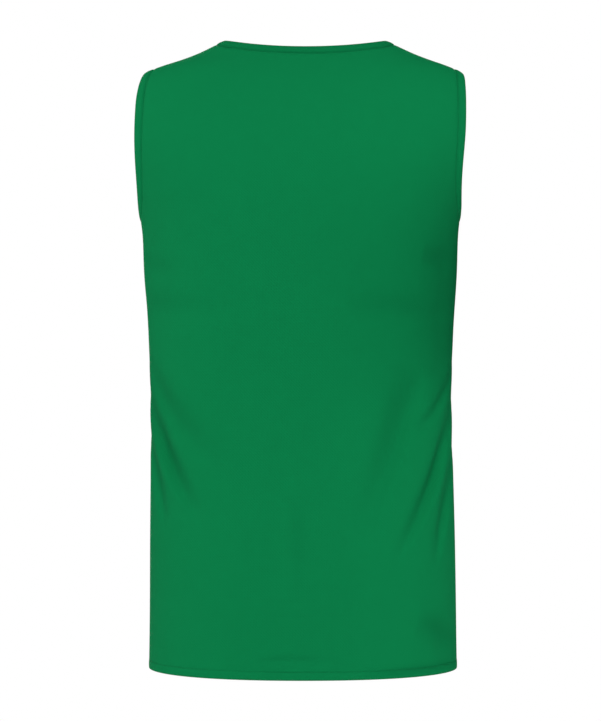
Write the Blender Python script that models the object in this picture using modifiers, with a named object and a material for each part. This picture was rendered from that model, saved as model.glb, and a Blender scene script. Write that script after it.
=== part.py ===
# Sports tank top, worn shape with nobody in it.
# Back and front panels, a neck binding and two armhole bindings, each one solid wall of cloth.
#
# The wearer's back faces +Y and the front faces -Y. The wearer's left is +X. Heights in the tables
# are above the hem; the origin lies midway between the shoulder seams, at the seams' middle height.

import math

import bmesh
import bpy
import numpy as np

# Driving sizes, in metres
SHOULDER_LEVEL = 0.686      # hem to the middle of the shoulder seams
CLOTH_WALL = 0.0012         # one layer of knit
HEM_WALL = 0.0024           # two layers where the hem is turned up
HEM_DEPTH = 0.0100          # height of the turned-up hem
HEM_STEP = 0.0012           # height over which the wall goes from two layers to one
SEAM_GAP = 0.0005           # left between neighbouring pieces
WELD = 0.00001              # points of one piece closer than this are one point
BINDING_WIDTH = 0.0105
BINDING_WALL = 0.0020
BINDING_CROWN = 0.0004      # the strip's middle stands this far out of a flat strip

UNDERARM_HEIGHT = 0.4990    # lowest point of the armhole seam
SHOULDER_POINT_HEIGHT = 0.6712
ARMHOLE_BACK = 0.0600       # how far the armhole seam reaches behind the side
ARMHOLE_FRONT = 0.0740      # and before it

NECK_POINT_HEIGHT = 0.6972  # neck end of the shoulder seam
BACK_NECK_DROP = 0.0144
FRONT_NECK_DROP = 0.0950
BACK_NECK_FULLNESS = 2.6    # 2 gives a shallow dish
FRONT_NECK_FULLNESS = 4.0   # 4 gives half an ellipse

# The body form as level rings, from the hem up
RING_COLUMNS = ("height", "half_width", "middle", "back_depth", "front_depth", "squareness")
RINGS = (
    (0.0000, 0.1728, -0.0028, 0.1290, 0.1180, 2.20),   # hem
    (0.0700, 0.1719, -0.0027, 0.1275, 0.1185, 2.20),
    (0.1500, 0.1711, -0.0022, 0.1215, 0.1190, 2.20),   # seat
    (0.2400, 0.1697, -0.0013, 0.1110, 0.1200, 2.18),
    (0.3200, 0.1700, -0.0003, 0.1060, 0.1215, 2.16),   # small of the back
    (0.3900, 0.1722, -0.0004, 0.1085, 0.1240, 2.15),
    (0.4500, 0.1762, 0.0000, 0.1130, 0.1260, 2.15),    # chest
    (0.5000, 0.1792, 0.0004, 0.1155, 0.1255, 2.15),    # underarm
    (0.5350, 0.1887, 0.0014, 0.1155, 0.1220, 2.15),
    (0.5700, 0.2005, 0.0014, 0.1125, 0.1150, 2.12),
    (0.6050, 0.2078, 0.0003, 0.1040, 0.1040, 2.08),
    (0.6350, 0.2045, -0.0007, 0.0915, 0.0900, 2.04),
    (0.6550, 0.1915, -0.0022, 0.0800, 0.0770, 2.02),
    (0.6690, 0.1728, -0.0041, 0.0700, 0.0662, 2.00),   # shoulder point
    (0.6780, 0.1490, -0.0056, 0.0630, 0.0588, 2.00),
    (0.6880, 0.1220, -0.0060, 0.0548, 0.0506, 2.00),
    (0.6990, 0.0990, -0.0055, 0.0460, 0.0420, 2.00),   # neck point
)

# A panel's grid is a sheet with notches: columns under the armhole end on its lower stretch, and
# the middle columns end on the neckline's lowest stretch. The turns say where the notches' corners
# lie on the armhole (0 under the arm, 180 at the shoulder) and on the neckline (0 in the middle).
ARMHOLE_CORNER = math.radians(75)
STRAP_FOOT = math.radians(125)
NECK_CORNER = math.radians(50)
BACK_CROSSING = 0.555       # height at which the row through the armhole's corner crosses the back
FRONT_CROSSING = 0.530      # and the front

# The largest folds: soft troughs pressed in along a path, "around" in degrees from the middle of
# the back, "height" above the hem, "width" half of the trough's and "depth" at its deepest
FOLD_COLUMNS = ("around_start", "height_start", "around_end", "height_end", "width", "depth")
FOLDS = (
    (77, 0.306, 39, 0.182, 0.0085, 0.0038),
    (82, 0.262, 58, 0.180, 0.0070, 0.0028),
    (-77, 0.302, -37, 0.143, 0.0090, 0.0040),
    (-87, 0.224, -56, 0.133, 0.0075, 0.0030),
    (104, 0.345, 140, 0.230, 0.0090, 0.0034),
    (-108, 0.330, -137, 0.195, 0.0090, 0.0034),
)
FOLD_SAMPLES = 24           # points that stand for a fold's path
FOLD_TIP = 0.06             # share of the fade's length that lies past each end
FOLD_FADE = 0.7             # below 1 the trough keeps its depth further towards its ends

# Cells of each panel's grid, the columns for one half
GRID_COLUMNS = ("under_neck", "under_strap", "under_armhole", "seam_rows", "chest_rows", "strap_rows")
BACK_CELLS = (7, 5, 9, 28, 7, 7)
FRONT_CELLS = (6, 4, 6, 22, 7, 7)

RUN_SAMPLES = 4000          # steps in which a height is looked up along the outline
SLOPE_STEP = 0.0001         # small step, in metres or radians, that gives the form's slope

COLLECTION_NAME = "sports_tank_top"
GREEN = (0.004, 0.190, 0.060, 1.0)
BINDING_GREEN = (0.004, 0.175, 0.055, 1.0)
ROUGHNESS = 0.75


def clear_scene():
    for thing in list(bpy.data.objects):
        bpy.data.objects.remove(thing, do_unlink=True)


def table(columns, rows):
    """A table's rows as one array for each named column."""
    return {name: np.array([row[i] for row in rows], float) for i, name in enumerate(columns)}


def smooth_curve(knots, values, at):
    """Natural cubic spline through the rows of a table, read at any places."""
    count = len(knots)
    step = np.diff(knots)
    slope = np.diff(values) / step
    matrix = np.eye(count)
    bend = np.zeros(count)
    for i in range(1, count - 1):
        matrix[i, i - 1:i + 2] = (step[i - 1], 2.0 * (step[i - 1] + step[i]), step[i])
        bend[i] = 6.0 * (slope[i] - slope[i - 1])
    curvature = np.linalg.solve(matrix, bend)
    cell = np.clip(np.searchsorted(knots, at) - 1, 0, count - 2)
    ahead = at - knots[cell]
    rise = slope[cell] - step[cell] * (2.0 * curvature[cell] + curvature[cell + 1]) / 6.0
    cubic = (curvature[cell + 1] - curvature[cell]) / (6.0 * step[cell])
    return values[cell] + ahead * (rise + ahead * (curvature[cell] / 2.0 + ahead * cubic))


RING = table(RING_COLUMNS, RINGS)
FOLD = table(FOLD_COLUMNS, FOLDS)
# Each ring's place along the side's outline, measured from the hem up over the shoulder
RING_RUN = np.concatenate(
    ([0.0], np.cumsum(np.hypot(np.diff(RING["height"]), np.diff(RING["half_width"]))))
)


def ring_at(run, column):
    return smooth_curve(RING_RUN, RING[column], run)


def run_at_height(height):
    """The place along the side's outline that lies at a height."""
    fine_run = np.linspace(0.0, RING_RUN[-1], RUN_SAMPLES)
    return np.interp(height, ring_at(fine_run, "height"), fine_run)


def powered(value, power):
    return np.sign(value) * np.abs(value) ** power


def body_point(angle, run, facing):
    """A point of the form: a superellipse ring, the angle counted from the panel's middle."""
    power = 2.0 / ring_at(run, "squareness")
    depth = ring_at(run, "back_depth" if facing > 0 else "front_depth")
    x = ring_at(run, "middle") + ring_at(run, "half_width") * powered(np.sin(angle), power)
    y = facing * depth * powered(np.cos(angle), power)
    return np.stack([x, y, ring_at(run, "height") - SHOULDER_LEVEL], axis=-1)


def outward(angle, run, facing):
    """The level direction out of the cloth at a point of the form."""
    squareness = ring_at(run, "squareness")
    depth = ring_at(run, "back_depth" if facing > 0 else "front_depth")
    power = 2.0 - 2.0 / squareness
    x = powered(np.sin(angle), power) / ring_at(run, "half_width")
    y = facing * powered(np.cos(angle), power) / depth
    length = np.hypot(x, y)
    return np.stack([x / length, y / length, np.zeros_like(x)], axis=-1)


def armhole_edge(turn, facing):
    """Angle and run of the armhole's seam; turn goes from 0 under the arm to pi at the shoulder."""
    middle = (UNDERARM_HEIGHT + SHOULDER_POINT_HEIGHT) / 2.0
    reach = (SHOULDER_POINT_HEIGHT - UNDERARM_HEIGHT) / 2.0
    depth = ARMHOLE_BACK if facing > 0 else ARMHOLE_FRONT
    run = run_at_height(middle - reach * np.cos(turn))
    column = "back_depth" if facing > 0 else "front_depth"
    share = np.clip(depth * np.sin(turn) / ring_at(run, column), 0.0, 1.0)
    angle = np.arccos(share ** (ring_at(run, "squareness") / 2.0))
    return angle, run


def neck_edge(turn, facing):
    """Angle and run of the neckline's seam; turn is 0 in the panel's middle, pi/2 at the shoulder."""
    drop = BACK_NECK_DROP if facing > 0 else FRONT_NECK_DROP
    fullness = BACK_NECK_FULLNESS if facing > 0 else FRONT_NECK_FULLNESS
    run = run_at_height(NECK_POINT_HEIGHT - drop * np.cos(turn) ** 2)
    neck_half_width = ring_at(run_at_height(NECK_POINT_HEIGHT), "half_width")
    across = neck_half_width * np.sqrt(1.0 - np.abs(np.cos(turn)) ** fullness)
    share = np.clip(across / ring_at(run, "half_width"), 0.0, 1.0)
    angle = np.arcsin(share ** (ring_at(run, "squareness") / 2.0))
    return np.sign(turn) * angle, run


def ease(share):
    """Smooth step from 0 to 1, flat at both ends."""
    return share ** 3 * (share * (6.0 * share - 15.0) + 10.0)


def patch(bottom, top, left, right, lift=None):
    """Fill a patch of (angle, run) places between its four edges."""
    across = np.linspace(0.0, 1.0, len(bottom))[None, :, None]
    up = np.linspace(0.0, 1.0, len(left)) if lift is None else lift
    up = up[:, None, None]
    rows = (1.0 - up) * bottom + up * top
    columns = (1.0 - across) * left[:, None] + across * right[:, None]
    low = (1.0 - across) * bottom[0] + across * bottom[-1]
    high = (1.0 - across) * top[0] + across * top[-1]
    return rows + columns - (1.0 - up) * low - up * high


def places(angle, run):
    """Angles and runs, either of them perhaps one number, as an array of places."""
    return np.stack(np.broadcast_arrays(angle, run), axis=-1)


def straight(start, end, cells):
    return start + np.linspace(0.0, 1.0, cells + 1)[:, None] * (end - start)


def panel_seams(facing):
    """The places along a half panel's armhole and neckline, cut at the notches' corners."""
    cells = dict(zip(GRID_COLUMNS, BACK_CELLS if facing > 0 else FRONT_CELLS))
    arm_low = np.linspace(0.0, ARMHOLE_CORNER, cells["under_armhole"] + 1)
    arm_chest = np.linspace(ARMHOLE_CORNER, STRAP_FOOT, cells["chest_rows"] + 1)
    arm_strap = np.linspace(STRAP_FOOT, math.pi, cells["strap_rows"] + 1)
    neck_low = np.linspace(0.0, NECK_CORNER, cells["under_neck"] + 1)
    neck_strap = np.linspace(NECK_CORNER, math.pi / 2, cells["strap_rows"] + 1)
    armhole = [places(*armhole_edge(turn, facing)) for turn in (arm_low, arm_chest, arm_strap)]
    neckline = [places(*neck_edge(turn, facing)) for turn in (neck_low, neck_strap)]
    return cells, armhole, neckline


def half_panel(facing):
    """Places of half a panel: the body up to the armhole's corner, the chest and the strap."""
    cells, (arm_low, arm_chest, arm_strap), (neck_low, neck_strap) = panel_seams(facing)
    strap_columns = cells["under_strap"]
    chest_columns = cells["under_neck"] + strap_columns
    crossing = run_at_height(BACK_CROSSING if facing > 0 else FRONT_CROSSING)
    # the row through the armhole's corner, then along the armhole down to the side seam
    corner = arm_low[-1]
    share = np.linspace(0.0, 1.0, chest_columns + 1)
    chest_row = places(share * corner[0], crossing + (corner[1] - crossing) * ease(share))
    body_top = np.concatenate((chest_row, arm_low[-2::-1]))
    hem_angle = np.concatenate((
        share * corner[0],
        np.linspace(corner[0], math.pi / 2, cells["under_armhole"] + 1)[1:],
    ))
    seam = np.linspace(HEM_DEPTH + HEM_STEP, UNDERARM_HEIGHT, cells["seam_rows"] + 1)
    seam_height = np.concatenate(([0.0, HEM_DEPTH], seam))
    rise = (seam_height / UNDERARM_HEIGHT) ** 2
    seam_run = run_at_height(seam_height)
    middle_run = seam_run + (crossing - seam_run[-1]) * rise
    body = patch(places(hem_angle, 0.0), body_top, places(0.0, middle_run),
                 places(math.pi / 2, seam_run), rise)
    # from that row up to the neckline's corner and the strap's foot
    strap_row = straight(neck_low[-1], arm_chest[-1], strap_columns)
    chest_top = np.concatenate((neck_low, strap_row[1:]))
    middle = straight(chest_row[0], neck_low[0], cells["chest_rows"])
    chest = patch(chest_row, chest_top, middle, arm_chest)
    # the strap, up to the shoulder seam
    shoulder_seam = straight(neck_strap[-1], arm_strap[-1], strap_columns)
    strap = patch(strap_row, shoulder_seam, neck_strap, arm_strap)
    return body, chest, strap


def fold_depth(points):
    """How far the folds press each point in: a rounded trough along each fold's path."""
    depth = np.zeros(points.shape[:-1])
    for i in range(len(FOLDS)):
        share = np.linspace(0.0, 1.0, FOLD_SAMPLES)
        around = np.radians(FOLD["around_start"][i]
                            + share * (FOLD["around_end"][i] - FOLD["around_start"][i]))
        height = FOLD["height_start"][i] + share * (FOLD["height_end"][i] - FOLD["height_start"][i])
        behind = np.cos(around) >= 0.0
        run = run_at_height(height)
        path = np.where(
            behind[:, None],
            body_point(around, run, 1),
            body_point(math.pi - around, run, -1),
        )
        distance = np.linalg.norm(points[..., None, :] - path, axis=-1)
        nearest = distance.argmin(axis=-1)
        length_share = FOLD_TIP + (1.0 - 2.0 * FOLD_TIP) * share[nearest]
        fade = np.sin(math.pi * length_share) ** FOLD_FADE
        trough = np.exp(-(distance.min(axis=-1) / FOLD["width"][i]) ** 2)
        depth += FOLD["depth"][i] * fade * trough
    return depth


def grid_faces(rows, columns, closed=False):
    """Quads of a grid, the last column joined to the first where it is closed."""
    across = columns if closed else columns - 1
    row, column = np.meshgrid(np.arange(rows - 1), np.arange(across), indexing="ij")
    here = row * columns + column
    right = row * columns + (column + 1) % columns
    return np.stack([here, right, right + columns, here + columns], axis=-1).reshape(-1, 4)


def add_mesh(name, grids, collection, closed=False):
    """One mesh from grids of points, welded where they share an edge."""
    points = []
    faces = []
    for grid in grids:
        faces.append(grid_faces(grid.shape[0], grid.shape[1], closed) + sum(map(len, points)))
        points.append(grid.reshape(-1, 3))
    mesh = bpy.data.meshes.new(name)
    mesh.from_pydata(np.concatenate(points).tolist(), [], np.concatenate(faces).tolist())
    work = bmesh.new()
    work.from_mesh(mesh)
    bmesh.ops.remove_doubles(work, verts=work.verts, dist=WELD)
    work.to_mesh(mesh)
    work.free()
    mesh.shade_smooth()
    thing = bpy.data.objects.new(name, mesh)
    collection.objects.link(thing)
    return thing


def add_material(thing, colour):
    material = bpy.data.materials.new(thing.name + "_knit")
    material.use_nodes = True
    shader = material.node_tree.nodes["Principled BSDF"]
    shader.inputs["Base Color"].default_value = colour
    shader.inputs["Roughness"].default_value = ROUGHNESS
    shader.inputs["Metallic"].default_value = 0.0
    thing.data.materials.append(material)


def panel_points(facing):
    """The panel's grids of points: both halves of the body, the chest and the strap."""
    grids = []
    for grid in half_panel(facing):
        for side in (1, -1):
            angle = side * grid[..., 0]
            run = grid[..., 1]
            points = body_point(angle, run, facing)
            points -= outward(angle, run, facing) * fold_depth(points)[..., None]
            points[..., 1] += facing * SEAM_GAP / 2.0
            grids.append(points if side != facing else points[:, ::-1])
    return grids


def wall(thing, thickness):
    solid = thing.modifiers.new("wall", "SOLIDIFY")
    solid.thickness = thickness
    solid.offset = -1.0
    solid.use_even_offset = False
    return solid


def panel(name, facing, collection):
    """A panel: an open sheet with its wall towards the inside, twice as thick at the hem."""
    thing = add_mesh(name, panel_points(facing), collection)
    height = np.array([vertex.co.z for vertex in thing.data.vertices]) + SHOULDER_LEVEL
    hem = height < HEM_DEPTH + HEM_STEP / 2.0
    layers = thing.vertex_groups.new(name="layers")
    layers.add(np.flatnonzero(hem).tolist(), 1.0, "REPLACE")
    layers.add(np.flatnonzero(~hem).tolist(), CLOTH_WALL / HEM_WALL, "REPLACE")
    solid = wall(thing, HEM_WALL)
    solid.vertex_group = layers.name
    add_material(thing, GREEN)
    return thing


def surface_normals(angle, run, facing):
    """Outward normals of the form, from small steps around it and up it."""
    step = SLOPE_STEP
    around = body_point(angle + step, run, facing) - body_point(angle - step, run, facing)
    up = body_point(angle, run + step, facing) - body_point(angle, run - step, facing)
    normal = np.cross(around, up)
    normal /= np.linalg.norm(normal, axis=-1, keepdims=True)
    side = (normal * outward(angle, run, facing)).sum(axis=-1, keepdims=True)
    return normal * np.sign(side)


def binding(name, edge, normals, collection):
    """A strip that goes on from a closed edge, straight along the cloth's own direction there."""
    along = np.roll(edge, -1, axis=0) - np.roll(edge, 1, axis=0)
    along /= np.linalg.norm(along, axis=-1, keepdims=True)
    away = np.cross(along, normals)
    away /= np.linalg.norm(away, axis=-1, keepdims=True)
    lift = (BINDING_WALL - CLOTH_WALL) / 2.0
    rows = []
    for share, crown in ((1.0, 0.0), (0.5, BINDING_CROWN), (0.0, 0.0)):
        reach = SEAM_GAP + share * BINDING_WIDTH
        rows.append(edge + away * reach + normals * (lift + crown))
    thing = add_mesh(name, [np.stack(rows)], collection, closed=True)
    wall(thing, BINDING_WALL)
    add_material(thing, BINDING_GREEN)
    return thing


def seam_ring(stretches):
    """Points and outward normals along a ring of seam, from its stretches on both panels."""
    edge = np.concatenate([body_point(angle, run, facing) for angle, run, facing in stretches])
    normals = np.concatenate([surface_normals(angle, run, facing) for angle, run, facing in stretches])
    return edge, normals


def armhole_binding(name, side, collection):
    """Ring strip round an armhole; side is +1 on the wearer's left and -1 on the right."""
    back, front = (np.concatenate((low, chest[1:], strap[1:]))
                   for low, chest, strap in (panel_seams(1)[1], panel_seams(-1)[1]))
    front = front[-2:0:-1]
    edge, normals = seam_ring((
        (side * back[:, 0], back[:, 1], 1),
        (side * front[:, 0], front[:, 1], -1),
    ))
    return binding(name, edge[::-side], normals[::-side], collection)


def neck_binding(name, collection):
    back, front = (np.concatenate((low, strap[1:]))
                   for low, strap in (panel_seams(1)[2], panel_seams(-1)[2]))
    front = front[-2::-1]
    edge, normals = seam_ring((
        (-back[:0:-1, 0], back[:0:-1, 1], 1),
        (back[:, 0], back[:, 1], 1),
        (front[:, 0], front[:, 1], -1),
        (-front[-2::-1, 0], front[-2::-1, 1], -1),
    ))
    return binding(name, edge, normals, collection)


def build():
    clear_scene()
    collection = bpy.data.collections.new(COLLECTION_NAME)
    bpy.context.scene.collection.children.link(collection)
    panel("back_panel", 1, collection)
    panel("front_panel", -1, collection)
    neck_binding("neck_binding", collection)
    armhole_binding("armhole_binding_left", 1, collection)
    armhole_binding("armhole_binding_right", -1, collection)


build()
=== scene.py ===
# Sports tank top in thin green knit, filled out with nobody in it; the camera sees its back
import math

import bmesh
import bpy
import numpy as np
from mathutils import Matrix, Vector


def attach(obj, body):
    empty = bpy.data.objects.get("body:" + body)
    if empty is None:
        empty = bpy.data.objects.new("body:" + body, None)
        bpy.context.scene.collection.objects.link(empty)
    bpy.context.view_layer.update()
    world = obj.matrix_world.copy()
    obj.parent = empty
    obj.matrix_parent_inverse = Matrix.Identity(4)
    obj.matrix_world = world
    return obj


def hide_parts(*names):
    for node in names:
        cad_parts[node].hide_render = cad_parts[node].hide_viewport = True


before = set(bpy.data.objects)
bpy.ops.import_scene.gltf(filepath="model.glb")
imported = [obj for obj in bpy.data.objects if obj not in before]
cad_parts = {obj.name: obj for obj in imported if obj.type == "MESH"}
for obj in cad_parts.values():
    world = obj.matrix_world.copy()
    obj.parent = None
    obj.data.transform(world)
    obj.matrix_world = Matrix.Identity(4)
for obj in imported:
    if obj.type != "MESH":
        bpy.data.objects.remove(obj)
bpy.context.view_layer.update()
print("frame loaded")

# the form that the cloth lies on
# heights are above the hem, the wearer's back faces +Y and the wearer's left is +X
form = {
    "shoulderLevel": 0.686,  # from the hem up to the origin
    "underarm": 0.4990,
    "shoulderPoint": 0.6712,
    "armholeBack": 0.0600,  # how far the armhole reaches behind the side
    "armholeFront": 0.0740,
    "neckPoint": 0.6984,
    "backDrop": 0.0156,
    "frontDrop": 0.0962,
    "backFullness": 2.6,
    "frontFullness": 4.0,
    "seamGap": 0.0005,
}

ringColumns = ("height", "halfWidth", "middle", "backDepth", "frontDepth", "squareness")
rings = (
    (0.0000, 0.1728, -0.0028, 0.1290, 0.1180, 2.20),
    (0.0700, 0.1719, -0.0027, 0.1275, 0.1185, 2.20),
    (0.1500, 0.1711, -0.0022, 0.1215, 0.1190, 2.20),
    (0.2400, 0.1697, -0.0013, 0.1110, 0.1200, 2.18),
    (0.3200, 0.1700, -0.0003, 0.1060, 0.1215, 2.16),
    (0.3900, 0.1722, -0.0004, 0.1085, 0.1240, 2.15),
    (0.4500, 0.1762, 0.0000, 0.1130, 0.1260, 2.15),
    (0.5000, 0.1792, 0.0004, 0.1155, 0.1255, 2.15),
    (0.5350, 0.1887, 0.0014, 0.1155, 0.1220, 2.15),
    (0.5700, 0.2005, 0.0014, 0.1125, 0.1150, 2.12),
    (0.6050, 0.2078, 0.0003, 0.1040, 0.1040, 2.08),
    (0.6350, 0.2045, -0.0007, 0.0915, 0.0900, 2.04),
    (0.6550, 0.1915, -0.0022, 0.0800, 0.0770, 2.02),
    (0.6690, 0.1728, -0.0041, 0.0700, 0.0662, 2.00),
    (0.6780, 0.1490, -0.0056, 0.0630, 0.0588, 2.00),
    (0.6880, 0.1220, -0.0060, 0.0548, 0.0506, 2.00),
    (0.6990, 0.0990, -0.0055, 0.0460, 0.0420, 2.00),
)


# a table as one array for each column
def namedColumns(columns, rows):
    return {name: np.array([row[i] for row in rows], float) for i, name in enumerate(columns)}


# a table as one dictionary for each row
def namedRows(columns, rows):
    return [dict(zip(columns, row)) for row in rows]


# sums of all steps so far, from 0
def runningTotal(steps):
    return np.concatenate(([0.0], np.cumsum(steps)))


# how far along a line each of its points is
def lengthAlong(line):
    return runningTotal(np.linalg.norm(np.diff(line, axis=0), axis=1))


# vectors made one long
def unit(vectors):
    return vectors / np.linalg.norm(vectors, axis=-1, keepdims=True)


# angles in even steps once round
def fullTurn(count):
    return np.arange(count) * (2 * math.pi / count)


# 1 at 0, falling off on both sides as e^(-x^2)
def bell(value):
    return np.exp(-value ** 2)


# the sign stays, and the size is raised to the power
def powered(value, power):
    return np.sign(value) * np.abs(value) ** power


# natural cubic spline: each stretch a cubic whose slope and curvature run on into the next
def smoothCurve(knots, values, at):
    count = len(knots)
    step = np.diff(knots)
    slope = np.diff(values) / step
    matrix = np.eye(count)
    bend = np.zeros(count)
    inner = np.arange(1, count - 1)
    matrix[inner, inner - 1] = step[:-1]
    matrix[inner, inner] = 2.0 * (step[:-1] + step[1:])
    matrix[inner, inner + 1] = step[1:]
    bend[1:-1] = 6.0 * np.diff(slope)
    curvature = np.linalg.solve(matrix, bend)
    cell = np.clip(np.searchsorted(knots, at) - 1, 0, count - 2)
    ahead = at - knots[cell]
    rise = slope[cell] - step[cell] * (2.0 * curvature[cell] + curvature[cell + 1]) / 6.0
    cubic = (curvature[cell + 1] - curvature[cell]) / (6.0 * step[cell])
    return values[cell] + ahead * (rise + ahead * (curvature[cell] / 2.0 + ahead * cubic))


ring = namedColumns(ringColumns, rings)
# a ring's run: its place along the side's outline, from the hem up over the shoulder
ringRun = runningTotal(np.hypot(np.diff(ring["height"]), np.diff(ring["halfWidth"])))


# a column of the table at any run
def ringAt(run, column):
    return smoothCurve(ringRun, ring[column], run)


def depthAt(run, facing):
    return ringAt(run, "backDepth" if facing > 0 else "frontDepth")


fineSteps = 4000
fineRun = np.linspace(0.0, ringRun[-1], fineSteps)
fineHeight = ringAt(fineRun, "height")


# the run at a height, read between fine steps
def runAt(height):
    return np.interp(height, fineHeight, fineRun)


# heights of points above the hem
def heightOf(points):
    return points[..., 2] + form["shoulderLevel"]


# superellipse rings: x = middle + halfWidth sin(angle)^(2/n), y = depth cos(angle)^(2/n), z from the run
def bodyPoint(angle, run, facing):
    power = 2.0 / ringAt(run, "squareness")
    x = ringAt(run, "middle") + ringAt(run, "halfWidth") * powered(np.sin(angle), power)
    y = facing * depthAt(run, facing) * powered(np.cos(angle), power)
    z = ringAt(run, "height") - form["shoulderLevel"]
    return np.stack(np.broadcast_arrays(x, y, z), axis=-1)


# level way out of the cloth: the gradient of (x/a)^n + (y/b)^n, made one long
def levelOutward(angle, run, facing):
    power = 2.0 - 2.0 / ringAt(run, "squareness")
    x = powered(np.sin(angle), power) / ringAt(run, "halfWidth")
    y = facing * powered(np.cos(angle), power) / depthAt(run, facing)
    length = np.hypot(x, y)
    return np.stack([x / length, y / length, np.zeros_like(x)], axis=-1)


# full normal: cross product of small steps round the form and up it, on the outer side
def surfaceNormal(angle, run, facing, step=1e-4):
    around = bodyPoint(angle + step, run, facing) - bodyPoint(angle - step, run, facing)
    up = bodyPoint(angle, run + step, facing) - bodyPoint(angle, run - step, facing)
    normal = unit(np.cross(around, up))
    side = (normal * levelOutward(angle, run, facing)).sum(axis=-1, keepdims=True)
    return normal * np.where(side < 0.0, -1.0, 1.0)


# armhole seam: an upright ellipse between underarm and shoulder point, turn 0 below and pi on top
def armholeEdge(turn, facing):
    middle = (form["underarm"] + form["shoulderPoint"]) / 2.0
    reach = (form["shoulderPoint"] - form["underarm"]) / 2.0
    depth = form["armholeBack"] if facing > 0 else form["armholeFront"]
    run = runAt(middle - reach * np.cos(turn))
    share = np.clip(depth * np.sin(turn) / depthAt(run, facing), 0.0, 1.0)
    return np.stack([np.arccos(share ** (ringAt(run, "squareness") / 2.0)), run], axis=-1)


# neck seam: height falls by drop cos(turn)^2, width grows as sqrt(1 - cos(turn)^fullness)
def neckEdge(turn, facing):
    drop = form["backDrop"] if facing > 0 else form["frontDrop"]
    fullness = form["backFullness"] if facing > 0 else form["frontFullness"]
    run = runAt(form["neckPoint"] - drop * np.cos(turn) ** 2)
    neckHalfWidth = ringAt(runAt(form["neckPoint"]), "halfWidth")
    across = neckHalfWidth * np.sqrt(1.0 - np.abs(np.cos(turn)) ** fullness)
    share = np.clip(across / ringAt(run, "halfWidth"), 0.0, 1.0)
    return np.stack([np.arcsin(share ** (ringAt(run, "squareness") / 2.0)), run], axis=-1)


# length of cloth from the panel's middle to an angle, summed on rings and read between them
arcRows, arcColumns = 120, 91
arcRuns = np.linspace(0.0, ringRun[-1], arcRows)
arcAngles = np.linspace(0.0, math.pi / 2, arcColumns)
arcTables = {}
for facing in (1, -1):
    ringPoints = bodyPoint(arcAngles[None, :], arcRuns[:, None], facing)
    steps = np.linalg.norm(np.diff(ringPoints, axis=1), axis=-1)
    arcTables[facing] = np.concatenate([np.zeros((arcRows, 1)), np.cumsum(steps, axis=1)], axis=1)


# read between the table's four nearest places, each by how near it is
def arcLength(angle, run, facing):
    column = np.clip(np.abs(angle) / arcAngles[1], 0, arcColumns - 1.001)
    row = np.clip(run / arcRuns[1], 0, arcRows - 1.001)
    i, j = row.astype(int), column.astype(int)
    s, t = row - i, column - j
    lengths = arcTables[facing]
    low = lengths[i, j] * (1 - t) + lengths[i, j + 1] * t
    high = lengths[i + 1, j] * (1 - t) + lengths[i + 1, j + 1] * t
    return np.sign(angle) * (low * (1 - s) + high * s)


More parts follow.
